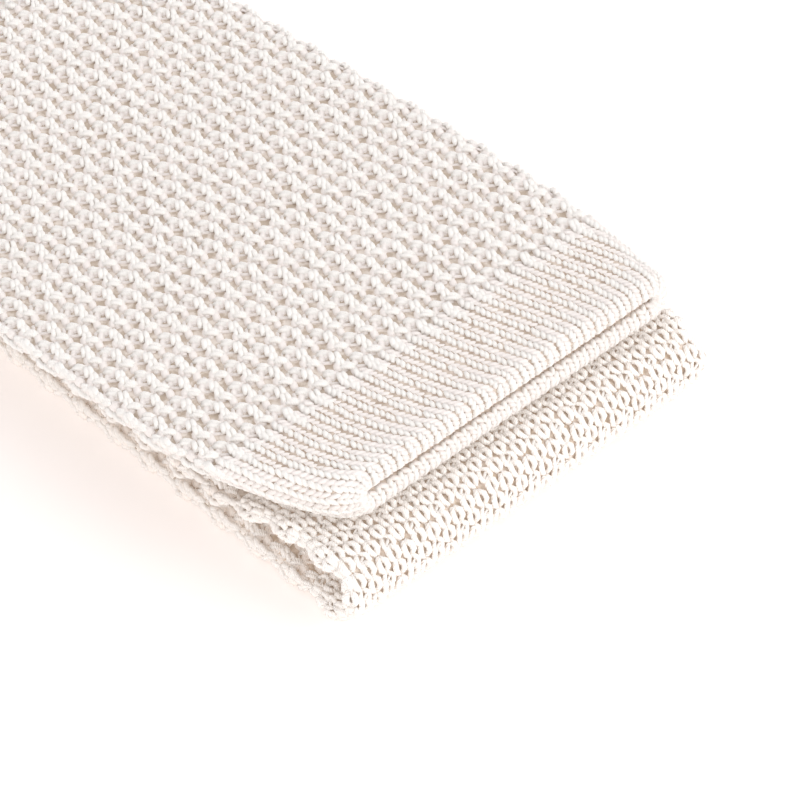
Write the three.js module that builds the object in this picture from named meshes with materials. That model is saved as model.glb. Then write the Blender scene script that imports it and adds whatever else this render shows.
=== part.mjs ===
// Knit tie, lying flat and folded in three: the wide end on top, a fold of the same tube in front
// below it, and the tail on the surface. The tie is one knitted tube, pressed flat, with a hem band
// turned double round each open end.
// Millimetres. +Z is up, +Y runs back from the front fold, +X runs across the tie.
import * as THREE from 'three';

// The tie itself
const TIE_LENGTH = 1450;
const BLADE_WIDTH = 61.2;
const FOLD_WIDTH = 55.6;
const TAIL_WIDTH = 50;
const KNIT_WALL = 1.2;
const TUBE_HOLLOW = 0.3;
const HEM_LENGTH = 11.5;
const HEM_WALL = 3.05;
const SEAM_GAP = 0.3;
const WIDE_HEM_PULL_LEFT = 10.2;
const WIDE_HEM_PULL_RIGHT = 1;
const LOWER_LIP_REACH = 0.9;
const TAIL_HEM_PULL = 3;

// How it lies
const REST_GAP = 0.3;
const FRONT_FOLD_ROOM = 3.9;
const BACK_FOLD_ROOM = 2.4;
const FRONT_REACH = 6.3;
const TAIL_REACH = 18;
const SIDE_SHIFT = 2.8;
const FRONT_SETTLE = 20;
const BLADE_SETTLE = 130;
const BACK_SETTLE = 50;

// Fineness of the faceted walls
const STEPS_ACROSS = 6;
const STEPS_ROUND_SIDE = 6;
const STEPS_ROUND_FOLD = 10;
const STEPS_ROUND_LIP = 6;

// Sizes that follow from the ones above
const LAYER = 2 * KNIT_WALL + TUBE_HOLLOW;
const HEM_THICKNESS = 2 * HEM_WALL + TUBE_HOLLOW;
const FRONT_RADIUS = (LAYER + FRONT_FOLD_ROOM) / 2;
const BACK_RADIUS = (LAYER + BACK_FOLD_ROOM) / 2;
const FRONT_FOLD_HEIGHT = 2 * FRONT_RADIUS + LAYER;
const STACK_HEIGHT = FRONT_FOLD_HEIGHT + REST_GAP + HEM_THICKNESS;
const LAYER_PITCH = LAYER + REST_GAP;
const FRONT_CENTRE = LAYER / 2 + FRONT_RADIUS;
const RUNS = 3;
// The three runs and the two bends add up to the length of the tie.
const BACK_FOLD_FACE =
  (TIE_LENGTH + FRONT_REACH - TAIL_REACH + 2 * LAYER + (2 - Math.PI) * (FRONT_RADIUS + BACK_RADIUS)) / RUNS;
const BACK_CENTRE = BACK_FOLD_FACE - LAYER / 2 - BACK_RADIUS;
const TAIL_END = BACK_FOLD_FACE + TAIL_REACH;

// Width of the flattened tube, by its place along the tie (share of TIE_LENGTH)
const WIDTHS = [
  { along: 0.00, width: BLADE_WIDTH },
  { along: 0.18, width: BLADE_WIDTH },
  { along: 0.66, width: FOLD_WIDTH },
  { along: 1.00, width: TAIL_WIDTH },
];

// How far a run lies to one side (share of SIDE_SHIFT)
const SIDESTEPS = [
  { along: 0.00, aside: 0.0 },
  { along: 0.34, aside: 0.1 },
  { along: 0.50, aside: 0.5 },
  { along: 0.62, aside: 1.1 },
  { along: 0.66, aside: 0.85 },
  { along: 1.00, aside: 0.3 },
];

// The tube swells towards its hem (distance from the end as a share of HEM_LENGTH)
const HEM_SWELL = [
  { back: 0.00, swell: 1.00 },
  { back: 0.30, swell: 0.95 },
  { back: 0.60, swell: 0.70 },
  { back: 1.00, swell: 0.30 },
  { back: 1.50, swell: 0.06 },
  { back: 2.00, swell: 0.00 },
];

// and its sides draw in to the corners
const HEM_PULL = [
  { back: 0.00, pull: 1.00 },
  { back: 0.22, pull: 0.79 },
  { back: 0.45, pull: 0.61 },
  { back: 0.70, pull: 0.42 },
  { back: 1.00, pull: 0.24 },
  { back: 1.35, pull: 0.09 },
  { back: 1.90, pull: 0.00 },
];

// The blade comes down from the front fold onto the runs below (shares of BLADE_SETTLE and of the drop)
const BLADE_FALL = [
  { back: 0.00, lift: 1.00 },
  { back: 0.10, lift: 0.97 },
  { back: 0.20, lift: 0.88 },
  { back: 0.35, lift: 0.67 },
  { back: 0.55, lift: 0.33 },
  { back: 0.75, lift: 0.10 },
  { back: 1.00, lift: 0.00 },
];

// The upper run of the front fold closes onto the lower one (shares of FRONT_SETTLE and of the room)
const FRONT_FALL = [
  { back: 0.00, lift: 1.00 },
  { back: 0.30, lift: 0.98 },
  { back: 0.50, lift: 0.80 },
  { back: 0.70, lift: 0.40 },
  { back: 0.85, lift: 0.12 },
  { back: 1.00, lift: 0.00 },
];

// The blade rises again into the bend of the back fold (shares of BACK_SETTLE and of the room)
const BACK_RISE = [
  { back: 0.00, lift: 1.00 },
  { back: 0.25, lift: 0.86 },
  { back: 0.55, lift: 0.40 },
  { back: 0.80, lift: 0.09 },
  { back: 1.00, lift: 0.00 },
];

// A smooth curve through a table's rows that never overshoots, level past its first and last row
function smooth(rows, place, value, at) {
  const last = rows.length - 1;
  if (at <= rows[0][place]) return rows[0][value];
  if (at >= rows[last][place]) return rows[last][value];
  const slopes = [];
  for (let i = 0; i < last; i += 1) {
    slopes.push((rows[i + 1][value] - rows[i][value]) / (rows[i + 1][place] - rows[i][place]));
  }
  const bend = (i) => {
    if (i === 0 || i === last || slopes[i - 1] * slopes[i] <= 0) return 0;
    return 2 / (1 / slopes[i - 1] + 1 / slopes[i]);
  };
  let i = 0;
  while (rows[i + 1][place] < at) i += 1;
  const span = rows[i + 1][place] - rows[i][place];
  const t = (at - rows[i][place]) / span;
  const start = rows[i][value] * (1 + 2 * t) * (1 - t) ** 2 + span * bend(i) * t * (1 - t) ** 2;
  const end = rows[i + 1][value] * t * t * (3 - 2 * t) + span * bend(i + 1) * t * t * (t - 1);
  return start + end;
}

const hemSwell = (fromEnd) => smooth(HEM_SWELL, 'back', 'swell', fromEnd / HEM_LENGTH);
const hemPull = (fromEnd) => smooth(HEM_PULL, 'back', 'pull', fromEnd / HEM_LENGTH);

// Thickness of the flattened tube, and of one of its walls, at a distance along the tie
function thickness(along) {
  const fromEnd = Math.min(along, TIE_LENGTH - along);
  return LAYER + (HEM_THICKNESS - LAYER) * hemSwell(fromEnd);
}

const wall = (along) => (thickness(along) - TUBE_HOLLOW) / 2;

// The two sides of the flattened tube at a distance along the tie
function sides(along) {
  const share = along / TIE_LENGTH;
  const centre = SIDE_SHIFT * smooth(SIDESTEPS, 'along', 'aside', share);
  const half = smooth(WIDTHS, 'along', 'width', share) / 2;
  const wide = hemPull(along);
  const tail = hemPull(TIE_LENGTH - along);
  return {
    left: centre - half + WIDE_HEM_PULL_LEFT * wide + TAIL_HEM_PULL * tail,
    right: centre + half - WIDE_HEM_PULL_RIGHT * wide - TAIL_HEM_PULL * tail,
  };
}

// Lengths of the route: blade, back bend, middle run, front bend, tail run
const BLADE_RUN = BACK_CENTRE - FRONT_REACH;
const BACK_BEND = Math.PI * BACK_RADIUS;
const MIDDLE_RUN = BACK_CENTRE - FRONT_CENTRE;
const FRONT_BEND = Math.PI * FRONT_RADIUS;

// Height of the middle of the blade, measured back from the wide end
function bladeHeight(back) {
  const settled = 3 * LAYER + 2 * REST_GAP;
  const fall = (STACK_HEIGHT - settled) * smooth(BLADE_FALL, 'back', 'lift', back / BLADE_SETTLE);
  const toBend = (BLADE_RUN - back) / BACK_SETTLE;
  const rise = (BACK_FOLD_ROOM - REST_GAP) * smooth(BACK_RISE, 'back', 'lift', toBend);
  return settled + fall + rise - thickness(back) / 2;
}

// Height of the middle of the run between the two folds, measured back from the front bend
function middleHeight(back) {
  const room = FRONT_FOLD_ROOM - REST_GAP;
  return LAYER_PITCH + LAYER / 2 + room * smooth(FRONT_FALL, 'back', 'lift', back / FRONT_SETTLE);
}

// The route of the tube's middle: its place back and up, and the way that its upper wall faces
function route(along) {
  let rest = along;
  if (rest <= BLADE_RUN) {
    return { y: FRONT_REACH + rest, z: bladeHeight(rest), outY: 0, outZ: 1 };
  }
  rest -= BLADE_RUN;
  if (rest <= BACK_BEND) {
    const turn = rest / BACK_RADIUS;
    const centre = LAYER_PITCH + LAYER / 2 + BACK_RADIUS;
    return {
      y: BACK_CENTRE + BACK_RADIUS * Math.sin(turn),
      z: centre + BACK_RADIUS * Math.cos(turn),
      outY: Math.sin(turn),
      outZ: Math.cos(turn),
    };
  }
  rest -= BACK_BEND;
  if (rest <= MIDDLE_RUN) {
    return { y: BACK_CENTRE - rest, z: middleHeight(MIDDLE_RUN - rest), outY: 0, outZ: -1 };
  }
  rest -= MIDDLE_RUN;
  if (rest <= FRONT_BEND) {
    const turn = rest / FRONT_RADIUS;
    return {
      y: FRONT_CENTRE - FRONT_RADIUS * Math.sin(turn),
      z: LAYER / 2 + FRONT_RADIUS + FRONT_RADIUS * Math.cos(turn),
      outY: Math.sin(turn),
      outZ: -Math.cos(turn),
    };
  }
  rest -= FRONT_BEND;
  return { y: FRONT_CENTRE + rest, z: thickness(along) / 2, outY: 0, outZ: 1 };
}

// How far forward the lower wall lies of the upper one at the wide end's lip
const lipStep = (along) => LOWER_LIP_REACH * Math.max(0, 1 - along / HEM_LENGTH);

// One closed line round the flattened tube: level above and below, half an ellipse at each side.
// The inset moves it into the wall.
function ring(along, inset) {
  const { y, z, outY, outZ } = route(along);
  const { left, right } = sides(along);
  const half = thickness(along) / 2 - inset;
  const step = lipStep(along);
  const points = [];
  const add = (x, out) => {
    const forward = step * (0.5 - out / thickness(along));
    points.push(new THREE.Vector3(x, y - forward + out * outY, z + out * outZ));
  };
  const from = left + inset + half;
  const to = right - inset - half;
  for (let i = 0; i < STEPS_ACROSS; i += 1) add(to + ((from - to) * i) / STEPS_ACROSS, half);
  for (let i = 0; i < STEPS_ROUND_SIDE; i += 1) {
    const turn = (Math.PI * i) / STEPS_ROUND_SIDE;
    add(from - half * Math.sin(turn), half * Math.cos(turn));
  }
  for (let i = 0; i < STEPS_ACROSS; i += 1) add(from + ((to - from) * i) / STEPS_ACROSS, -half);
  for (let i = 0; i < STEPS_ROUND_SIDE; i += 1) {
    const turn = (Math.PI * i) / STEPS_ROUND_SIDE;
    add(to + half * Math.sin(turn), -half * Math.cos(turn));
  }
  return points;
}

// A closed body from a loop of rings: down the outside of the wall and back up its inside
function shell(rings) {
  const count = rings[0].length;
  const positions = rings.flat().flatMap((point) => [point.x, point.y, point.z]);
  const faces = [];
  rings.forEach((_, row) => {
    const next = (row + 1) % rings.length;
    for (let i = 0; i < count; i += 1) {
      const j = (i + 1) % count;
      const [a, b, c, d] = [row * count + i, row * count + j, next * count + j, next * count + i];
      faces.push(a, b, c, a, c, d);
    }
  });
  const geometry = new THREE.BufferGeometry();
  geometry.setAttribute('position', new THREE.Float32BufferAttribute(positions, 3));
  geometry.setIndex(faces);
  geometry.computeVertexNormals();
  return geometry;
}

// Even steps from one place along the tie to the next, without the last one
function steps(from, to, count) {
  return Array.from({ length: count }, (_, i) => from + ((to - from) * i) / count);
}

// Where the body of the tube has its rings: close together in the bends and where a run rises
function tubeStations() {
  const start = HEM_LENGTH + SEAM_GAP;
  const bladeEnd = BLADE_RUN;
  const middleStart = bladeEnd + BACK_BEND;
  const middleEnd = middleStart + MIDDLE_RUN;
  const tailStart = middleEnd + FRONT_BEND;
  const end = TIE_LENGTH - HEM_LENGTH - SEAM_GAP;
  return [
    ...steps(start, 2 * HEM_LENGTH, 4),
    ...steps(2 * HEM_LENGTH, BLADE_SETTLE, 8),
    ...steps(BLADE_SETTLE, bladeEnd - BACK_SETTLE, 4),
    ...steps(bladeEnd - BACK_SETTLE, bladeEnd, 5),
    ...steps(bladeEnd, middleStart, STEPS_ROUND_FOLD),
    ...steps(middleStart, middleEnd - FRONT_SETTLE, 6),
    ...steps(middleEnd - FRONT_SETTLE, middleEnd, 7),
    ...steps(middleEnd, tailStart, STEPS_ROUND_FOLD),
    ...steps(tailStart, TIE_LENGTH - 2 * HEM_LENGTH, 6),
    ...steps(TIE_LENGTH - 2 * HEM_LENGTH, end, 4),
    end,
  ];
}

// The knitted tube between its two hem bands, open at both ends
function knitTube() {
  const stations = tubeStations();
  const outside = stations.map((along) => ring(along, 0));
  const inside = stations.toReversed().map((along) => ring(along, wall(along)));
  return shell([...outside, ...inside]);
}

// A hem band: the wall turned double, rolled over at the lip, with the mouth of the tube inside it.
// Places run from the seam to the end of the tie.
function hemBand(placeAt) {
  const lip = HEM_WALL / 2;
  const backs = [...steps(HEM_LENGTH, lip, 7), lip];
  const outside = backs.map((back) => ring(placeAt(back), 0));
  const rolled = steps(0, Math.PI, STEPS_ROUND_LIP).slice(1).map((turn) => {
    const along = placeAt(lip - lip * Math.sin(turn));
    return ring(along, (wall(along) * (1 - Math.cos(turn))) / 2);
  });
  const inside = backs.toReversed().map((back) => ring(placeAt(back), wall(placeAt(back))));
  return shell([...outside, ...rolled, ...inside]);
}

// Turns the faces of a closed body outwards if its rings ran the other way
function facingOut(geometry) {
  const points = geometry.getAttribute('position');
  const index = geometry.getIndex();
  const corners = [new THREE.Vector3(), new THREE.Vector3(), new THREE.Vector3()];
  let volume = 0;
  for (let i = 0; i < index.count; i += 3) {
    corners.forEach((corner, k) => corner.fromBufferAttribute(points, index.getX(i + k)));
    volume += corners[0].dot(corners[1].clone().cross(corners[2]));
  }
  if (volume < 0) {
    geometry.setIndex(Array.from(index.array).reverse());
    geometry.computeVertexNormals();
  }
  return geometry;
}

const ivoryKnit = { color: 0xefe9e0, roughness: 0.9, metalness: 0 };
const ivoryRib = { color: 0xf3eee6, roughness: 0.85, metalness: 0 };

function piece(name, geometry, finish) {
  const mesh = new THREE.Mesh(facingOut(geometry), new THREE.MeshStandardMaterial(finish));
  mesh.name = name;
  return mesh;
}

const tie = new THREE.Group();
tie.name = 'knit_tie';
tie.add(
  piece('knit_tube', knitTube(), ivoryKnit),
  piece('wide_end_hem', hemBand((back) => back), ivoryRib),
  piece('tail_end_hem', hemBand((back) => TIE_LENGTH - back), ivoryRib),
);

// The origin is the middle of the tie's footprint, on the surface that it lies on.
const box = new THREE.Box3().setFromObject(tie);
const middle = box.getCenter(new THREE.Vector3());
tie.children.forEach((mesh) => mesh.geometry.translate(-middle.x, -middle.y, -box.min.z));

export default tie;
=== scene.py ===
"""A knit tie, lying flat and folded in three, with the wide end on top.

The tie is one knitted tube, pressed flat, with a hem band turned double round each open end. Sizes
are in millimetres, +Z is up, +Y runs back from the front fold and +X runs across the tie. A mesh is
turned to metres as it is made.
"""
import math

import bpy
import numpy as np
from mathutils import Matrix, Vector

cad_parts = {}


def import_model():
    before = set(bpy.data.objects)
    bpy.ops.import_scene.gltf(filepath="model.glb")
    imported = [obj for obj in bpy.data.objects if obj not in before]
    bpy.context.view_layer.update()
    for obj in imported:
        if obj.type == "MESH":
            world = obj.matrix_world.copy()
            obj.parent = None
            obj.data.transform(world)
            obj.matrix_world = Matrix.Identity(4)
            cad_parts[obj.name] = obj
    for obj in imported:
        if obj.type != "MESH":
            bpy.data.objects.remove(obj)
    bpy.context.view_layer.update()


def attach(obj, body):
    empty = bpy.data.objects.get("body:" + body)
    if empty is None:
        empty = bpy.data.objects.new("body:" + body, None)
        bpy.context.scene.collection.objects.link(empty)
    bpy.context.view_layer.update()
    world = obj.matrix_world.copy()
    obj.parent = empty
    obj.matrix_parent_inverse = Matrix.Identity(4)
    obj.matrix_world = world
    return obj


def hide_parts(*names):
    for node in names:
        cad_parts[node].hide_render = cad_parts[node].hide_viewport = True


MM = 0.001

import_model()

# The tie itself, as in the solids
TIE_LENGTH = 1450.0
BLADE_WIDTH = 61.2
FOLD_WIDTH = 55.6
TAIL_WIDTH = 50.0
KNIT_WALL = 1.2
TUBE_HOLLOW = 0.3
HEM_LENGTH = 11.5
HEM_WALL = 3.05
SEAM_GAP = 0.3
WIDE_HEM_PULL_LEFT = 10.2
WIDE_HEM_PULL_RIGHT = 1.0
LOWER_LIP_REACH = 0.9
TAIL_HEM_PULL = 3.0

# How it lies
REST_GAP = 0.3
FRONT_FOLD_ROOM = 3.9
BACK_FOLD_ROOM = 2.4
FRONT_REACH = 6.3
TAIL_REACH = 18.0
SIDE_SHIFT = 2.8
FRONT_SETTLE = 20.0
BLADE_SETTLE = 130.0
BACK_SETTLE = 50.0

# Sizes that follow from the ones above
LAYER = 2 * KNIT_WALL + TUBE_HOLLOW
HEM_THICKNESS = 2 * HEM_WALL + TUBE_HOLLOW
FRONT_RADIUS = (LAYER + FRONT_FOLD_ROOM) / 2
BACK_RADIUS = (LAYER + BACK_FOLD_ROOM) / 2
FRONT_FOLD_HEIGHT = 2 * FRONT_RADIUS + LAYER
STACK_HEIGHT = FRONT_FOLD_HEIGHT + REST_GAP + HEM_THICKNESS
LAYER_PITCH = LAYER + REST_GAP
FRONT_CENTRE = LAYER / 2 + FRONT_RADIUS
RUNS = 3
BENT = (2 - math.pi) * (FRONT_RADIUS + BACK_RADIUS)
BACK_FOLD_FACE = (TIE_LENGTH + FRONT_REACH - TAIL_REACH + 2 * LAYER + BENT) / RUNS
BACK_CENTRE = BACK_FOLD_FACE - LAYER / 2 - BACK_RADIUS
TAIL_END = BACK_FOLD_FACE + TAIL_REACH
BLADE_RUN = BACK_CENTRE - FRONT_REACH
BACK_BEND = math.pi * BACK_RADIUS
MIDDLE_RUN = BACK_CENTRE - FRONT_CENTRE
FRONT_BEND = math.pi * FRONT_RADIUS
MIDDLE_START = BLADE_RUN + BACK_BEND
MIDDLE_END = MIDDLE_START + MIDDLE_RUN
TAIL_START = MIDDLE_END + FRONT_BEND

# Tables of the form: place and value in each row
WIDTHS = [(0.00, BLADE_WIDTH), (0.18, BLADE_WIDTH), (0.66, FOLD_WIDTH), (1.00, TAIL_WIDTH)]
SIDESTEPS = [(0.00, 0.0), (0.34, 0.1), (0.50, 0.5), (0.62, 1.1), (0.66, 0.85), (1.00, 0.3)]
HEM_SWELL = [(0.00, 1.00), (0.30, 0.95), (0.60, 0.70), (1.00, 0.30), (1.50, 0.06), (2.00, 0.00)]
HEM_PULL = [
    (0.00, 1.00), (0.22, 0.79), (0.45, 0.61), (0.70, 0.42), (1.00, 0.24), (1.35, 0.09), (1.90, 0.00),
]
BLADE_FALL = [
    (0.00, 1.00), (0.10, 0.97), (0.20, 0.88), (0.35, 0.67), (0.55, 0.33), (0.75, 0.10), (1.00, 0.00),
]
FRONT_FALL = [(0.00, 1.00), (0.30, 0.98), (0.50, 0.80), (0.70, 0.40), (0.85, 0.12), (1.00, 0.00)]
BACK_RISE = [(0.00, 1.00), (0.25, 0.86), (0.55, 0.40), (0.80, 0.09), (1.00, 0.00)]

# The knit: cells of two wales by three courses, staggered like bricks
CELLS_ROUND = 31
CELL_WIDTH = 4.0
ROW_PITCH = 2.97
FIRST_ROW = 13.3
CELL_START = 0.315
HEM_BUNCH = 0.12
HALF_FACE = CELLS_ROUND / 4
BLADE_SCALLOP = 0.06
RUN_SCALLOP = 0.45
SCALLOP_CELLS = 0.8
LIP_ZONE = 3.0
HEM_LEVEL = -0.46
MOUTH_FILL = 0.22


def smooth(rows, at):
    """A cubic through the table's rows that never overshoots: each row's slope is the harmonic mean
    of the slopes beside it, and it is level past the first and last row."""
    place, value = np.array(rows, float).T
    at = np.clip(at, place[0], place[-1])
    span = np.diff(place)
    slope = np.diff(value) / span
    before, after = slope[:-1], slope[1:]
    turning = before * after <= 0
    safe_before = np.where(turning, 1.0, before)
    safe_after = np.where(turning, 1.0, after)
    mean = np.where(turning, 0.0, 2 / (1 / safe_before + 1 / safe_after))
    bend = np.concatenate([[0.0], mean, [0.0]])
    i = np.clip(np.searchsorted(place, at, side="left") - 1, 0, len(span) - 1)
    t = (at - place[i]) / span[i]
    start = value[i] * (1 + 2 * t) * (1 - t) ** 2 + span[i] * bend[i] * t * (1 - t) ** 2
    end = value[i + 1] * t * t * (3 - 2 * t) + span[i] * bend[i + 1] * t * t * (t - 1)
    return start + end


def thickness(along):
    """Thickness of the flattened tube: one layer, swelling towards the hem at either end."""
    from_end = np.minimum(along, TIE_LENGTH - along)
    return LAYER + (HEM_THICKNESS - LAYER) * smooth(HEM_SWELL, from_end / HEM_LENGTH)


def sides(along):
    """Left and right side of the flattened tube at a distance along the tie."""
    share = along / TIE_LENGTH
    centre = SIDE_SHIFT * smooth(SIDESTEPS, share)
    half = smooth(WIDTHS, share) / 2
    wide = smooth(HEM_PULL, along / HEM_LENGTH)
    tail = smooth(HEM_PULL, (TIE_LENGTH - along) / HEM_LENGTH)
    left = centre - half + WIDE_HEM_PULL_LEFT * wide + TAIL_HEM_PULL * tail
    right = centre + half - WIDE_HEM_PULL_RIGHT * wide - TAIL_HEM_PULL * tail
    return left, right


def blade_height(back):
    """Height of the blade's middle: it falls from the front fold onto the runs below and rises again
    into the back bend."""
    settled = 3 * LAYER + 2 * REST_GAP
    fall = (STACK_HEIGHT - settled) * smooth(BLADE_FALL, back / BLADE_SETTLE)
    rise = (BACK_FOLD_ROOM - REST_GAP) * smooth(BACK_RISE, (BLADE_RUN - back) / BACK_SETTLE)
    return settled + fall + rise - thickness(back) / 2


def middle_height(back):
    """Height of the middle run, which closes onto the tail run behind the front bend."""
    room = FRONT_FOLD_ROOM - REST_GAP
    return LAYER_PITCH + LAYER / 2 + room * smooth(FRONT_FALL, back / FRONT_SETTLE)


def route(along):
    """Where the tube's middle lies, as y and z, and the way that its face wall looks, as y and z:
    blade back, half a turn down, middle run forward, half a turn down, tail run back."""
    back_turn = (along - BLADE_RUN) / BACK_RADIUS
    front_turn = (along - MIDDLE_END) / FRONT_RADIUS
    back_centre = LAYER_PITCH + LAYER / 2 + BACK_RADIUS
    front_centre = LAYER / 2 + FRONT_RADIUS
    where = [along <= BLADE_RUN, along <= MIDDLE_START, along <= MIDDLE_END, along <= TAIL_START]
    level = np.ones_like(along)
    y = np.select(where, [
        FRONT_REACH + along,
        BACK_CENTRE + BACK_RADIUS * np.sin(back_turn),
        BACK_CENTRE - (along - MIDDLE_START),
        FRONT_CENTRE - FRONT_RADIUS * np.sin(front_turn),
    ], FRONT_CENTRE + along - TAIL_START)
    z = np.select(where, [
        blade_height(along),
        back_centre + BACK_RADIUS * np.cos(back_turn),
        middle_height(MIDDLE_END - along),
        front_centre + FRONT_RADIUS * np.cos(front_turn),
    ], thickness(along) / 2)
    out_y = np.select(where, [0 * level, np.sin(back_turn), 0 * level, np.sin(front_turn)], 0 * level)
    out_z = np.select(where, [level, np.cos(back_turn), -level, -np.cos(front_turn)], level)
    return y, z, out_y, out_z


def footprint_middle():
    """Middle of the tie's footprint before it is moved to the origin."""
    left, right = sides(np.linspace(0, TIE_LENGTH, 4001))
    return (left.min() + right.max()) / 2, TAIL_END / 2


MIDDLE_X, MIDDLE_Y = footprint_middle()


def wall_point(cell, along, inset):
    """Point and outward normal on the flattened tube. The cell counts stitch cells round the tube from
    the middle of its face wall towards +X. The section is level above and below with half a circle at
    each side, and the inset moves it into the wall."""
    outer = thickness(along) / 2
    half = outer - inset
    left, right = sides(along)
    flat = right - left - 2 * outer
    middle = (left + right) / 2
    share = (cell / CELLS_ROUND + 0.5) % 1.0 - 0.5
    hem = smooth(HEM_SWELL, np.minimum(along, TIE_LENGTH - along) / HEM_LENGTH)
    bunched = share + HEM_BUNCH * hem * np.sin(2 * np.pi * share) / (2 * np.pi)
    around = bunched * (2 * flat + 2 * np.pi * outer)
    way = np.where(around < 0, -1.0, 1.0)
    reach = np.abs(around)
    turn = np.clip((reach - flat / 2) / outer, 0, np.pi)
    past = np.maximum(reach - flat / 2 - np.pi * outer, 0)
    across = np.minimum(reach, flat / 2) - past
    x = middle + way * (across + half * np.sin(turn))
    out = half * np.cos(turn)
    y, z, out_y, out_z = route(along)
    step = LOWER_LIP_REACH * np.maximum(0, 1 - along / HEM_LENGTH)
    forward = step * (0.5 - out / thickness(along))
    point = np.stack([x - MIDDLE_X, y - forward + out * out_y - MIDDLE_Y, z + out * out_z], -1)
    normal = np.stack([way * np.sin(turn), np.cos(turn) * out_y, np.cos(turn) * out_z], -1)
    return point, normal


def from_face(cell):
    """Cells between a place and the middle of the face wall, either way round."""
    return np.abs((cell / CELLS_ROUND + 0.5) % 1.0 - 0.5) * CELLS_ROUND


def knit_point(cell, along, height):
    """Point and normal above or below the outside of the tube's wall. The two edges of the flattened
    tube bulge by a cosine of two rows' length, as the loops that turn there do."""
    edge = np.exp(-((from_face(cell) - HALF_FACE) / SCALLOP_CELLS) ** 2)
    size = np.where(along < MIDDLE_START, BLADE_SCALLOP, RUN_SCALLOP)
    bulge = size * edge * np.cos(np.pi * (along - FIRST_ROW) / ROW_PITCH)
    point, normal = wall_point(cell, along, 0.0)
    return point + normal * (height + bulge)[..., None], normal


def hem_point(at_tail):
    """The same for a hem band: past its lip the wall rolls over into the mouth of the tube."""
    end_way = np.array([0.0, 1.0 if at_tail else -1.0, 0.0])
    lip = HEM_WALL / 2

    def place(cell, back, height):
        turn = np.clip((lip - back) / lip, 0, np.pi)
        from_end = np.where(back < lip, lip - lip * np.sin(turn), back)
        along = TIE_LENGTH - from_end if at_tail else from_end
        wall = (thickness(along) - TUBE_HOLLOW) / 2
        point, normal = wall_point(cell, along, wall * (1 - np.cos(turn)) / 2)
        normal = normal * np.cos(turn)[..., None] + end_way * np.sin(turn)[..., None]
        relief = 0.30 + 0.70 * np.clip((from_end - lip) / LIP_ZONE, 0, 1)
        fill = MOUTH_FILL * np.clip(-back / lip, 0, 1)
        level = HEM_LEVEL + (height - HEM_LEVEL) * relief + fill
        return point + normal * level[..., None], normal

    return place


# Meshes


def mesh_object(name, points, corners, starts, material, uv=None, flat=False):
    """An object from arrays: points in millimetres, the faces' corners one after the other, where
    each face starts in that list, and the corners' UVs."""
    mesh = bpy.data.meshes.new(name)
    mesh.vertices.add(len(points))
    mesh.vertices.foreach_set("co", (points * MM).astype(np.float32).ravel())
    mesh.loops.add(len(corners))
    mesh.loops.foreach_set("vertex_index", corners.astype(np.int32))
    mesh.polygons.add(len(starts))
    mesh.polygons.foreach_set("loop_start", starts.astype(np.int32))
    mesh.update(calc_edges=True)
    if uv is not None:
        layer = mesh.uv_layers.new(name="yarn")
        layer.data.foreach_set("uv", uv.astype(np.float32).ravel())
    if not flat:
        mesh.shade_smooth()
    mesh.materials.append(material)
    made = bpy.data.objects.new(name, mesh)
    bpy.context.scene.collection.objects.link(made)
    return made


def ring_shell(name, rings, material):
    """A closed body from a loop of rings, each an array of points round the tube."""
    rows, count = rings.shape[:2]
    points = rings.reshape(-1, 3)
    row, column = np.meshgrid(np.arange(rows), np.arange(count), indexing="ij")
    next_row, next_column = (row + 1) % rows, (column + 1) % count
    faces = np.stack([
        row * count + column,
        row * count + next_column,
        next_row * count + next_column,
        next_row * count + column,
    ], -1).reshape(-1, 4)
    a, b, c = points[faces[:, 0]], points[faces[:, 1]], points[faces[:, 2]]
    volume = np.einsum("ij,ij->i", a, np.cross(b, c)).sum()
    if volume < 0:
        faces = faces[:, ::-1]
    return mesh_object(name, points, faces.ravel(), np.arange(len(faces)) * 4, material)


def strand_template(steps, sides_round):
    """Face corners, face starts and UVs of one closed strand: rings of a tube and a face on each end."""
    row, column = np.meshgrid(np.arange(steps), np.arange(sides_round), indexing="ij")
    after = (column + 1) % sides_round
    quads = np.stack([
        row * sides_round + column,
        row * sides_round + after,
        (row + 1) * sides_round + after,
        (row + 1) * sides_round + column,
    ], -1).reshape(-1, 4)
    lengthwise = np.stack([row, row, row + 1, row + 1], -1).reshape(-1, 4) / steps
    roundwise = np.stack([column, column + 1, column + 1, column], -1).reshape(-1, 4) / sides_round
    first = np.arange(sides_round)[::-1]
    last = steps * sides_round + np.arange(sides_round)
    corners = np.concatenate([quads.ravel(), first, last])
    starts = np.concatenate([
        np.arange(len(quads)) * 4,
        [len(quads) * 4, len(quads) * 4 + sides_round],
    ])
    along = np.concatenate([lengthwise.ravel(), np.zeros(sides_round), np.ones(sides_round)])
    around = np.concatenate([roundwise.ravel(), first / sides_round, np.arange(sides_round) / sides_round])
    return corners, starts, np.stack([along, around], -1)


def strand_route(points, steps):
    """The polynomial through a strand's few points, at even steps from its first to its last."""
    points = np.array(points, float)
    given = np.linspace(0, 1, len(points))
    at = np.linspace(0, 1, steps + 1)
    return np.stack([
        np.polyval(np.polyfit(given, points[:, k], len(points) - 1), at) for k in range(points.shape[1])
    ], -1)


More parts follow.
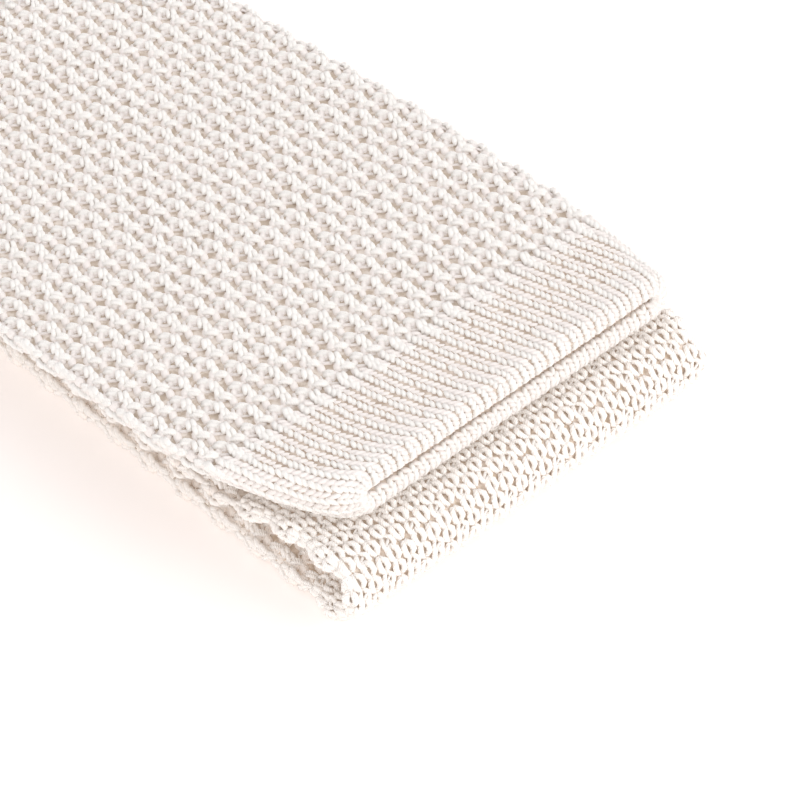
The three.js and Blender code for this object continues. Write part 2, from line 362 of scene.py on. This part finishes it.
def strands(name, place, sites, motif, steps, sides_round, materials, rng, jitter=0.05):
    """Repeats a motif's strands at each site. A strand is a tube swept along its route, with the
    wall's normal as its up, thinner at its ends and flat where it meets the surface below."""
    cells, alongs = sites
    corners, starts, uv = strand_template(steps, sides_round)
    turn = 2 * np.pi * np.arange(sides_round) / sides_round
    swell = 0.78 + 0.22 * np.sin(np.pi * np.linspace(0, 1, steps + 1)) ** 0.6
    all_points = []
    tones = []
    for route_points, radius, tone in motif:
        line = strand_route(route_points, steps)
        shake = rng.normal(0, jitter, (len(cells), 1, 3)) * [1, 1, 0.7]
        shaken = line + shake
        cell = cells[:, None] + shaken[..., 0] / CELL_WIDTH
        along = alongs[:, None] + shaken[..., 1]
        centre, normal = place(cell, along, shaken[..., 2])
        tangent = np.gradient(centre, axis=1)
        tangent /= np.linalg.norm(tangent, axis=-1, keepdims=True)
        aside = np.cross(tangent, normal)
        aside /= np.linalg.norm(aside, axis=-1, keepdims=True)
        up = np.cross(aside, tangent)
        reach = radius * (swell * (1 + rng.normal(0, 0.04, (len(cells), 1))))[..., None, None]
        ring = np.cos(turn)[:, None] * aside[:, :, None] + np.sin(turn)[:, None] * up[:, :, None]
        all_points.append((centre[:, :, None] + reach * ring).reshape(len(cells), -1, 3))
        tones.append(np.full(len(cells), tone))
    points = np.concatenate(all_points).reshape(-1, 3)
    points[:, 2] = np.maximum(points[:, 2], 0.0)
    count = len(cells) * len(motif)
    ring_points = (steps + 1) * sides_round
    corner_list = (corners + ring_points * np.arange(count)[:, None]).ravel()
    start_list = (starts + len(corners) * np.arange(count)[:, None]).ravel()
    shifts = rng.random((count, 1, 1)) * [1.0, 1.0]
    uv_list = (uv + shifts).reshape(-1, 2)
    made = mesh_object(name, points, corner_list, start_list, materials[0], uv_list)
    for material in materials[1:]:
        made.data.materials.append(material)
    slots = np.repeat(np.concatenate(tones), len(starts))
    made.data.polygons.foreach_set("material_index", slots.astype(np.int32))
    return made


# Materials


def linear(code):
    """A colour given as sRGB hex, as the linear values that the shader works in."""
    parts = [int(code[i:i + 2], 16) / 255 for i in (1, 3, 5)]
    return [p / 12.92 if p <= 0.04045 else ((p + 0.055) / 1.055) ** 2.4 for p in parts] + [1.0]


def node(tree, kind, settings=None, values=None, links=None):
    """Adds a node with its settings, its sockets' values and what is linked into them."""
    made = tree.nodes.new(kind)
    for key, value in (settings or {}).items():
        setattr(made, key, value)
    for key, value in (values or {}).items():
        made.inputs[key].default_value = value
    for key, source in (links or {}).items():
        tree.links.new(source, made.inputs[key])
    return made


def new_material(name):
    material = bpy.data.materials.new(name)
    material.use_nodes = True
    tree = material.node_tree
    tree.nodes.clear()
    return material, tree


# How the plies wind round a strand and how deep they lie, how fine the fibres and the tones are, and
# the warm colour of the painted glow that stands in for light coming through pale yarn
PLIES = 4.0
PLY_WIND = 1.6
PLY_DEPTH = 0.05
FIBRE_SHARE = 0.6
FIBRES_PER_METRE = 2600.0
PATCHES_PER_METRE = 170.0
LOOPS_PER_METRE = 1100.0
LOOP_DEPTH = 0.35
PAINTED_GLOW_COLOUR = "#FFEBDC"


def math_node(tree, operation, values=None, links=None):
    return node(tree, "ShaderNodeMath", {"operation": operation}, values, links)


def noise(tree, place, scale, detail):
    """Noise over the piece's own metres."""
    values = {"Scale": scale, "Detail": detail}
    return node(tree, "ShaderNodeTexNoise", values=values, links={"Vector": place.outputs["Object"]})


def bumped(tree, height, strength, depth):
    values = {"Strength": strength, "Distance": depth * MM}
    return node(tree, "ShaderNodeBump", values=values, links={"Height": height})


def tones(tree, first, second, share):
    values = {6: linear(first), 7: linear(second)}
    return node(tree, "ShaderNodeMix", {"data_type": "RGBA"}, values, {0: share})


def finish(tree, surface, glow, mix, bump):
    """The shader and the material's output, with a painted glow that stands in for light coming through."""
    values = {**surface, "Emission Color": linear(PAINTED_GLOW_COLOUR), "Emission Strength": glow}
    links = {"Base Color": mix.outputs[2], "Normal": bump.outputs[0]}
    shader = node(tree, "ShaderNodeBsdfPrincipled", values=values, links=links)
    node(tree, "ShaderNodeOutputMaterial", links={0: shader.outputs[0]})


def yarn_material(name, light, dark, glow):
    """Plied yarn, soft and nearly matt with a faint sheen: the plies wind round a strand, over a fine
    noise of fibres. Its painted glow stands in for light coming through the yarn."""
    material, tree = new_material(name)
    uv = node(tree, "ShaderNodeUVMap", {"uv_map": "yarn"})
    split = node(tree, "ShaderNodeSeparateXYZ", links={0: uv.outputs[0]})
    wound = math_node(tree, "MULTIPLY_ADD", {1: PLY_WIND}, {0: split.outputs[0], 2: split.outputs[1]})
    phase = math_node(tree, "MULTIPLY", {1: 2 * math.pi * PLIES}, {0: wound.outputs[0]})
    ridge = math_node(tree, "SINE", links={0: phase.outputs[0]})
    place = node(tree, "ShaderNodeTexCoord")
    fibre = noise(tree, place, FIBRES_PER_METRE, 2.0)
    height_links = {0: fibre.outputs["Fac"], 2: ridge.outputs[0]}
    height = math_node(tree, "MULTIPLY_ADD", {1: FIBRE_SHARE}, height_links)
    bump = bumped(tree, height.outputs[0], 0.6, PLY_DEPTH)
    patch = noise(tree, place, PATCHES_PER_METRE, 2.0)
    mix = tones(tree, light, dark, patch.outputs["Fac"])
    surface = {"Roughness": 0.55, "IOR": 1.46, "Sheen Weight": 0.3, "Sheen Roughness": 0.4}
    finish(tree, surface, glow, mix, bump)
    return material


def painted_shade_backing_material(name, light, dark, glow=0.05):
    """The loops at the back of the knit, matt, in a colour darker than the yarn's that is painted shade for
    the holes between the strands, with a little painted glow.
    """
    material, tree = new_material(name)
    place = node(tree, "ShaderNodeTexCoord")
    loops = noise(tree, place, LOOPS_PER_METRE, 3.0)
    bump = bumped(tree, loops.outputs["Fac"], 0.8, LOOP_DEPTH)
    tone = node(tree, "ShaderNodeMapRange", values={1: 0.40, 2: 0.60}, links={0: loops.outputs["Fac"]})
    mix = tones(tree, dark, light, tone.outputs[0])
    finish(tree, {"Roughness": 0.8, "IOR": 1.46}, glow, mix, bump)
    return material


# Bright ivory on the strands that stand up, and a greyer copy as painted shade on those that lie low
ivory_yarn = yarn_material("ivory_plied_yarn", "#F6F4F0", "#F2EFEA", 0.05)
painted_shade_yarn = yarn_material("ivory_plied_yarn_painted_shade", "#F2EDE9", "#EBE4E0", 0.08)
# The same yarn where the knit is stretched open, with a stronger painted glow for the light coming
# through it; its greyer copy is painted shade
glowing_open_yarn = yarn_material("ivory_plied_yarn_glowing_open", "#F7F4F0", "#F3EFEA", 0.12)
glowing_open_painted_shade_yarn = yarn_material("ivory_plied_yarn_painted_shade_glowing_open", "#F4EEE9", "#EEE7E0", 0.17)
# Painted shade, tan, on the backing seen in the holes: deepest in the hem's grooves, pale far back,
# warm and with more painted glow in the open fold
hem_painted_shade = painted_shade_backing_material("ivory_hem_painted_shade", "#CDBFB2", "#A69484")
ivory_painted_shade = painted_shade_backing_material("ivory_knit_painted_shade", "#E0D6CC", "#B9A998")
ivory_pale_painted_shade = painted_shade_backing_material("ivory_knit_pale_painted_shade", "#ECE6E0", "#D3C9C0")
bend_painted_shade_glow = painted_shade_backing_material("ivory_knit_painted_shade_glow_open", "#DFD1C3", "#BCA994", 0.08)

# Strands of one cell: points as x, y and height in millimetres from the round hole, a radius, and
# which of the two yarn materials, the bright one or its greyer copy of painted shade
HIGH, SHADE_TONE = 0, 1
COLUMNS = [
    ([(0.66, -0.62, -0.80), (1.02, 0.02, -0.50), (1.48, 0.72, -0.84)], 0.60, HIGH),
    ([(0.50, -1.60, -0.82), (0.84, -0.98, -0.56), (1.22, -0.30, -0.84)], 0.54, HIGH),
    ([(0.42, -1.36, -0.92), (0.84, -1.98, -0.64), (1.28, -2.62, -0.92)], 0.54, HIGH),
    ([(2.44, -0.92, -1.04), (2.80, -1.46, -0.76), (3.24, -2.12, -1.04)], 0.54, HIGH),
]
# The band and the ground strands lie low, in the greyer yarn of painted shade
BAND = ([(3.40, -0.85, -1.22), (2.70, -1.45, -1.04), (1.95, -2.10, -1.02), (1.00, -2.85, -1.22)], 0.50, SHADE_TONE)
GROUND = [
    BAND,
    ([(2.58, -0.70, -1.16), (2.96, -0.05, -0.98), (3.36, 0.60, -1.16)], 0.58, SHADE_TONE),
    ([(0.92, -0.60, -1.20), (0.46, -1.20, -0.94), (-0.10, -1.80, -1.20)], 0.62, SHADE_TONE),
    ([(0.98, -1.55, -1.20), (0.56, -1.98, -0.98), (0.14, -2.40, -1.20)], 0.52, SHADE_TONE),
    ([(0.40, 0.70, -1.20), (1.05, 1.08, -0.96), (1.75, 1.45, -1.20)], 0.56, SHADE_TONE),
    ([(1.50, -1.70, -1.12), (1.86, -1.20, -1.00), (2.16, -0.66, -1.20)], 0.30, SHADE_TONE),
    ([(-0.50, 0.62, -1.00), (0.04, 0.16, -0.82), (0.62, -0.34, -1.00)], 0.22, SHADE_TONE),
]


# A strand's two halves: each one's radius, how far they fan apart at the start and at the end, both as
# shares of the strand's radius, and how far they sink
HALF_RADIUS = 0.63
HALF_FAN = (0.48, 0.34)
HALF_SINK = 0.04


def pair(line, radius, tone):
    """Two thinner strands side by side in place of one, fanning apart towards its start."""
    points = np.array(line)
    way = points[-1, :2] - points[0, :2]
    aside = np.array([-way[1], way[0]]) / np.hypot(*way)
    fan = np.linspace(*HALF_FAN, len(points))[:, None] * radius
    thin = HALF_RADIUS * radius
    lifted = points + [0, 0, radius - thin - HALF_SINK]
    halves = []
    for side in (1, -1):
        moved = lifted.copy()
        moved[:, :2] += side * fan * aside
        halves.append((moved, thin, tone))
    return halves


BODY_MOTIF = [half for line, radius, tone in COLUMNS for half in pair(line, radius, tone)] + GROUND
COARSE = COLUMNS + [BAND]

# Over the front fold the knit is stretched sideways, and its stitches open into chains of small rings.
# One ring in four is wider, with a strand across it. A ring has half its width and its yarn's radius.
FOLD_CHAINS = ((1.0, 0.0), (3.0, -0.4))
PLAIN_RING = (0.66, 0.42)
WIDE_RING = (0.80, 0.34)
ACROSS_RADIUS = 0.2
FOLD_MOTIF = []
for wale, shift in FOLD_CHAINS:
    for ring in range(2):
        y = shift - ring * ROW_PITCH / 2
        wide = wale < 2 and ring == 0
        half, radius = WIDE_RING if wide else PLAIN_RING
        for side in (-1, 1):
            start = (wale + 0.10 * side, y - 0.84, -0.72)
            middle = (wale + half * side, y + 0.04 * side, -0.42)
            end = (wale + 0.14 * side, y + 0.78, -0.76)
            FOLD_MOTIF.append(([start, middle, end], radius, HIGH))
        if wide:
            across = [(wale - 0.7, y - 0.35, -0.70), (wale, y, -0.62), (wale + 0.7, y + 0.3, -0.70)]
            FOLD_MOTIF.append((across, ACROSS_RADIUS, HIGH))

# Hem legs: each wale's stitches are a V, and a wale is half a cell wide; the second leg is in the
# greyer yarn of painted shade
HEM_MOTIF = [
    ([(-0.84, -0.12, -0.70), (-0.50, 0.32, -0.44), (-0.12, 0.84, -0.62)], 0.35, HIGH),
    ([(0.80, -0.08, -0.80), (0.44, 0.28, -0.56), (0.06, 0.72, -0.74)], 0.36, SHADE_TONE),
]
HEM_COURSE = 0.68
HEM_OVER_SEAM = 0.9
HEM_INTO_MOUTH = 2.6
HEM_BACK_LEVEL = -0.42

rng = np.random.default_rng(7)


def body_sites(first_row, last_row):
    """Cells and distances along the tie of the brick-staggered cells, row by row."""
    rows = np.arange(first_row, last_row)
    row, column = np.meshgrid(rows, np.arange(CELLS_ROUND), indexing="ij")
    cell = CELL_START + column + 0.5 * (row % 2)
    return cell.ravel(), (FIRST_ROW + row * ROW_PITCH).ravel().astype(float)


# Which knit gets which stitches: distances back from the front fold's face, or along the tie, in
# millimetres, and widths in cells round the tube
NEAR_REACH = 108.0
NEAR_POINT = 3.0
NEAR_SLOPE = 0.95
BACKING_MARGIN = 4.0
SEEN_EDGE_REACH = 84.0
HALF_RUN = 290.0
PAST_BEND = 8.0
FOLD_LEAD = 14.0
FOLD_TRAIL = 4.0
TAIL_COVER = 10.0
EDGE_CELLS = 1.7
FOLD_EDGE_CELLS = 2.6
NEAR_WRAP = 2.2
FAR_WRAP = 1.3


def near_camera(cell, along, margin=0.0):
    """Where the knit is close enough to the camera for every strand: the frame's corner is a point,
    so the line across the blade is an arrow's head."""
    across = ((cell / CELLS_ROUND + 0.5) % 1.0 - 0.5) * CELLS_ROUND * CELL_WIDTH
    return route(along)[0] < NEAR_REACH - margin - NEAR_SLOPE * np.abs(across - NEAR_POINT)


LAST_ROW = int((TIE_LENGTH - 2 * FIRST_ROW) / ROW_PITCH) + 1
cells, alongs = body_sites(0, LAST_ROW)
out = from_face(cells)
route_y = route(alongs)[0]
near = near_camera(cells, alongs)
right_half = cells % CELLS_ROUND <= CELLS_ROUND / 2
from_edge = np.abs(out - HALF_FACE)
near_edge = (route_y < SEEN_EDGE_REACH) & ~right_half & (from_edge < FOLD_EDGE_CELLS)
half_run = route_y < HALF_RUN
blade_wrap = np.where(near, NEAR_WRAP, FAR_WRAP)
on_blade = (alongs < MIDDLE_START + PAST_BEND) & (out < HALF_FACE + blade_wrap)
past_blade = (alongs >= MIDDLE_START + PAST_BEND) & (from_edge < EDGE_CELLS)
at_fold = (alongs > MIDDLE_END - FOLD_LEAD) & (alongs < TAIL_START + FOLD_TRAIL)
fold_side = at_fold & (out > HALF_FACE - FOLD_EDGE_CELLS) & ~on_blade
seen_edge = near_edge & (alongs >= MIDDLE_START) & ~fold_side
under = (alongs >= TAIL_START) & (out > HALF_FACE - EDGE_CELLS) & ~fold_side & ~seen_edge
run_edge = past_blade & ~fold_side & ~under & ~seen_edge
tail_top = (alongs > TIE_LENGTH - TAIL_REACH - TAIL_COVER) & (out <= HALF_FACE - EDGE_CELLS)

# Each piece with its cells, its strands and its detail: steps along a strand and sides round it
FINE = (3, 5)
PLAIN = (3, 4)
LEAST = (2, 3)
PIECES = [
    ("blade_stitches_front_left", on_blade & near & ~right_half, BODY_MOTIF, FINE),
    ("blade_stitches_front_right", on_blade & near & right_half, BODY_MOTIF, FINE),
    ("blade_stitches_middle", on_blade & ~near & half_run, COARSE, LEAST),
    ("blade_stitches_back", on_blade & ~near & ~half_run, COARSE, LEAST),
    ("fold_stitches", fold_side, FOLD_MOTIF, PLAIN),
    ("run_edge_stitches_front", seen_edge, BODY_MOTIF, PLAIN),
    ("run_edge_stitches_back", run_edge, COARSE, LEAST),
    ("tail_stitches_top", tail_top, BODY_MOTIF, PLAIN),
    ("underside_stitches", under, COLUMNS[:2], LEAST),
]
# Each piece's second yarn is the greyer copy of painted shade; the fold and the run edges take the copies
# with the stronger painted glow
YARNS = [ivory_yarn, painted_shade_yarn]
GLOWING_OPEN_YARNS = [glowing_open_yarn, glowing_open_painted_shade_yarn]
GLOWING_OPEN_PIECES = ("fold_stitches", "run_edge_stitches_front", "run_edge_stitches_back")
pieces = []
for name, chosen, motif, detail in PIECES:
    yarns = GLOWING_OPEN_YARNS if name in GLOWING_OPEN_PIECES else YARNS
    made = strands(name, knit_point, (cells[chosen], alongs[chosen]), motif, *detail, yarns, rng)
    pieces.append(made)


def hem_sites():
    """A site for each wale and course of a hem, from the seam over the lip and into the mouth."""
    backs = np.arange(HEM_LENGTH + HEM_OVER_SEAM, -HEM_INTO_MOUTH, -HEM_COURSE)
    back, wale = np.meshgrid(backs, np.arange(2 * CELLS_ROUND), indexing="ij")
    return (CELL_START + (wale + 0.5) / 2).ravel(), back.ravel()


for at_tail, name, detail in ((False, "wide_end_stitches", FINE), (True, "tail_end_stitches", LEAST)):
    made = strands(name, hem_point(at_tail), hem_sites(), HEM_MOTIF, *detail, YARNS, rng, jitter=0.045)
    pieces.append(made)

# The backing: the knitted tube's inner side, hollow, and the two hem bands behind their stitches
ROUND_STEPS = 2 * CELLS_ROUND
BACK_OUTER = 0.86
BACK_INNER = 1.19
END_ZONE = 26.0
FOLD_ZONE = 24.0
round_cells = np.arange(ROUND_STEPS) * CELLS_ROUND / ROUND_STEPS


def tube_rings(stations, inset):
    cell, along = np.meshgrid(round_cells, stations)
    return wall_point(cell, along, inset(along) if callable(inset) else inset)[0]


def full_wall(along):
    return (thickness(along) - TUBE_HOLLOW) / 2


def stations_of(start, end, step):
    return np.linspace(start, end, max(2, int(round((end - start) / step)) + 1))


tube_stations = np.unique(np.concatenate([
    stations_of(HEM_LENGTH + SEAM_GAP, END_ZONE, 1.5),
    stations_of(END_ZONE, BLADE_SETTLE, 6),
    stations_of(BLADE_SETTLE, BLADE_RUN - BACK_SETTLE, 12),
    stations_of(BLADE_RUN - BACK_SETTLE, BLADE_RUN, 6),
    stations_of(BLADE_RUN, MIDDLE_START, 0.6),
    stations_of(MIDDLE_START, MIDDLE_END - FOLD_ZONE, 12),
    stations_of(MIDDLE_END - FOLD_ZONE, MIDDLE_END, 2),
    stations_of(MIDDLE_END, TAIL_START, 0.6),
    stations_of(TAIL_START, TIE_LENGTH - END_ZONE, 12),
    stations_of(TIE_LENGTH - END_ZONE, TIE_LENGTH - HEM_LENGTH - SEAM_GAP, 1.5),
]))
backing = ring_shell("tube_backing", np.concatenate([
    tube_rings(tube_stations, BACK_OUTER),
    tube_rings(tube_stations[::-1], BACK_INNER),
]), ivory_painted_shade)
backing.data.materials.append(ivory_pale_painted_shade)
backing.data.materials.append(bend_painted_shade_glow)
# Painted shade on the backing: darker tan near the camera, paler further off, warm with more glow in the
# front bend
station, place_round = np.divmod(np.arange(len(backing.data.polygons)), ROUND_STEPS)
there_and_back = np.concatenate([tube_stations, tube_stations[::-1]])
bend = (there_and_back > MIDDLE_END - FOLD_LEAD) & (there_and_back < TAIL_START + FOLD_TRAIL)
darker_shade_near_camera = near_camera(round_cells[place_round], there_and_back[station], margin=BACKING_MARGIN)
back_slots = np.where(bend[station], 2, np.where(darker_shade_near_camera, 0, 1))
backing.data.polygons.foreach_set("material_index", back_slots.astype(np.int32))
pieces.append(backing)


def hem_backing(name, at_tail):
    place = hem_point(at_tail)
    outside = np.concatenate([
        np.linspace(HEM_LENGTH, HEM_WALL / 2, 14),
        np.linspace(HEM_WALL / 2, -HEM_WALL, 12)[1:],
    ])
    cell, back = np.meshgrid(round_cells, outside)
    skin = place(cell, back, np.full(cell.shape, HEM_BACK_LEVEL))[0]
    inner_backs = np.linspace(HEM_WALL / 2, HEM_LENGTH, 8)
    inner = tube_rings(TIE_LENGTH - inner_backs if at_tail else inner_backs, full_wall)
    made = ring_shell(name, np.concatenate([skin, inner]), hem_painted_shade)
    pieces.append(made)
    return made


wide_hem = hem_backing("wide_end_backing", False)
tail_hem = hem_backing("tail_end_backing", True)

for piece in pieces:
    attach(piece, "root")
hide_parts("knit_tube")
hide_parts("wide_end_hem")
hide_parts("tail_end_hem")

# Floor, light and camera


def floor():
    """White paper, matt, with a faint glow that keeps the shadow on it pale."""
    material, tree = new_material("white_paper_sweep")
    shader = node(tree, "ShaderNodeBsdfPrincipled",
                  values={"Base Color": linear("#E7E1DD"), "Roughness": 0.9, "Specular IOR Level": 0.2,
                          "Emission Color": linear("#F8F1EE"), "Emission Strength": 0.34})
    node(tree, "ShaderNodeOutputMaterial", links={0: shader.outputs[0]})
    size = 6000.0
    points = np.array([(-size, -size, 0), (size, -size, 0), (size, size, 0), (-size, size, 0)])
    made = mesh_object("floor", points, np.arange(4), np.array([0]), material, flat=True)
    return made


def area_light(name, place, aim, size, power, code):
    data = bpy.data.lights.new(name, "AREA")
    data.shape = "DISK"
    data.size = size
    data.energy = power
    data.color = linear(code)[:3]
    made = bpy.data.objects.new(name, data)
    made.location = place
    way = np.array(aim, float) - np.array(place, float)
    made.rotation_mode = "QUATERNION"
    made.rotation_quaternion = Vector(way).to_track_quat("-Z", "Y")
    bpy.context.scene.collection.objects.link(made)
    return made


# The photograph's camera: degrees round and above the tie, millimetres away, and where it aims, across
# and behind the middle of the front fold's side
CAMERA_ROUND = -43.4
CAMERA_ABOVE = 44.84
CAMERA_AWAY = 437.0
CAMERA_AIM = (-7.7, 12.1)


def camera():
    azimuth, elevation = math.radians(CAMERA_ROUND), math.radians(CAMERA_ABOVE)
    back = Vector((
        math.sin(azimuth) * math.cos(elevation),
        -math.cos(azimuth) * math.cos(elevation),
        math.sin(elevation),
    ))
    target = Vector((CAMERA_AIM[0], -MIDDLE_Y + CAMERA_AIM[1], STACK_HEIGHT)) * MM
    data = bpy.data.cameras.new("camera")
    data.lens = 180
    data.sensor_width = 36
    data.clip_start = 0.02
    made = bpy.data.objects.new("camera", data)
    made.location = target + back * CAMERA_AWAY * MM
    made.rotation_mode = "QUATERNION"
    made.rotation_quaternion = (-back).to_track_quat("-Z", "Y")
    bpy.context.scene.collection.objects.link(made)
    bpy.context.scene.camera = made


def world():
    scene_world = bpy.data.worlds.new("studio")
    scene_world.use_nodes = True
    background = scene_world.node_tree.nodes["Background"]
    background.inputs["Color"].default_value = linear("#FBFAFD")
    background.inputs["Strength"].default_value = 0.95
    bpy.context.scene.world = scene_world


floor()
world()
area_light("window", (0.9, 0.7, 1.5), (0, -0.2, 0), 1.4, 3.0, "#FFFBF5")
area_light("front_softbox", (1.0, -1.7, 0.6), (0, -0.2, 0), 1.8, 22.0, "#FFFDFA")
area_light("left_fill", (-1.5, -0.8, 0.5), (0, -0.2, 0), 1.4, 7.0, "#FFFDFA")
camera()
bpy.context.scene.view_settings.view_transform = "Standard"
